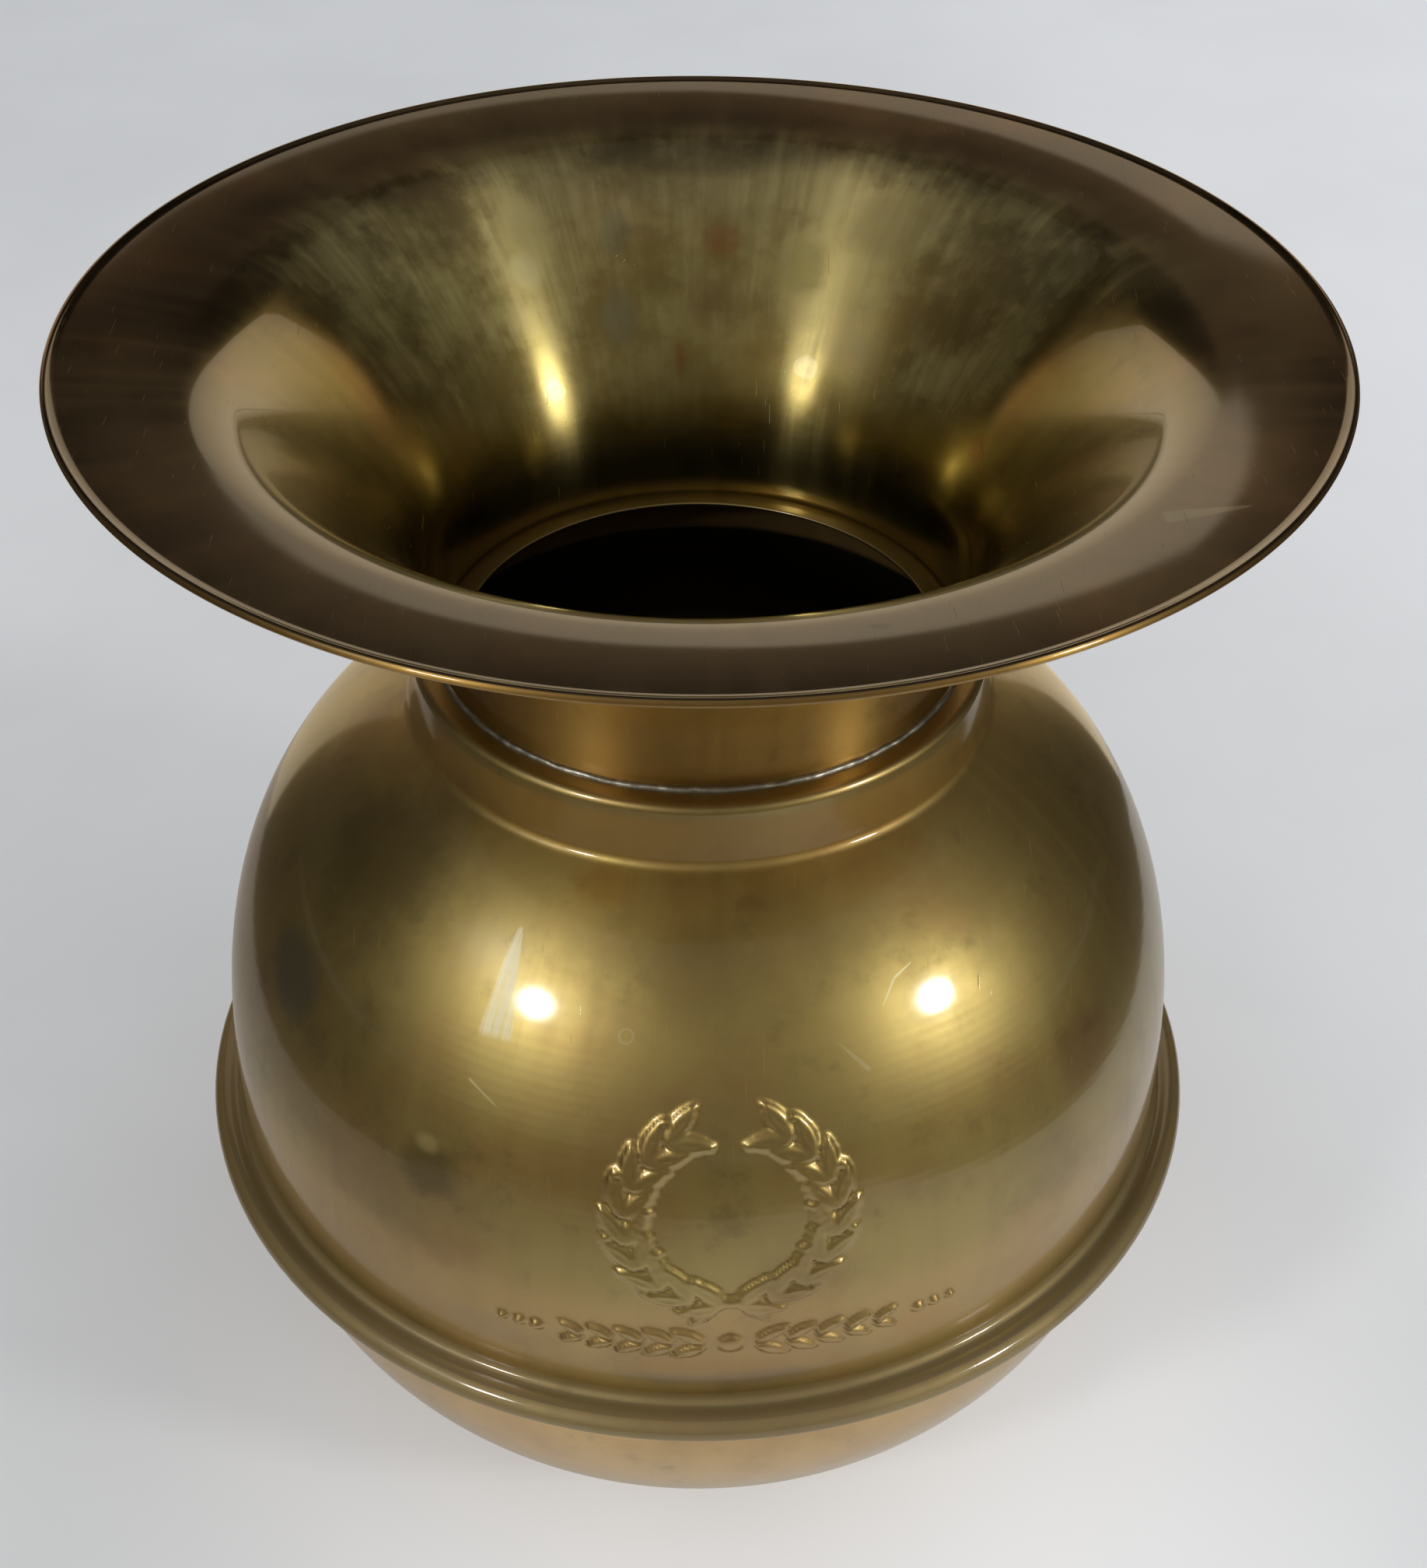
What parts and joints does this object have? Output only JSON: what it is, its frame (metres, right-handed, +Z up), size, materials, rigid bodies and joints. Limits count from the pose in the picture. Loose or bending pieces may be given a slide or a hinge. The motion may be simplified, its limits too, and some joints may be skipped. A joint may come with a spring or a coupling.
{
  "type": "spittoon",
  "caption": "Brass spittoon with a wide flared mouth, a short neck on a collar, and a round weighted body whose top half lifts off at the belt.",
  "frame": {"origin": "centre of the foot ring, on the surface that the spittoon stands on", "axes": "+Z up along the axis of the vessel, the ornament on the body faces -Y"},
  "size_m": [0.216, 0.216, 0.2376],
  "materials": {
    "funnel_brass": "polished, aged to olive brown inside the mouth",
    "body_brass": "polished and lacquered, lightly aged",
    "base_brass": "dull, scuffed",
    "soft_solder": "dull grey soft solder",
    "cast_iron": "as cast"
  },
  "bodies": {
    "lower_half": {"lower_bowl": "body_brass", "ballast_disc": "cast_iron", "base_plate": "base_brass", "base_solder": "soft_solder"},
    "top_half": {"upper_bowl": "body_brass", "mouth_funnel": "funnel_brass", "neck_solder": "soft_solder"}
  },
  "joints": [
    {"name": "top_half_lift", "type": "slide", "parent": "lower_half", "child": "top_half", "axis": [0, 0, 1], "range_m": [0, 0.08]}
  ]
}
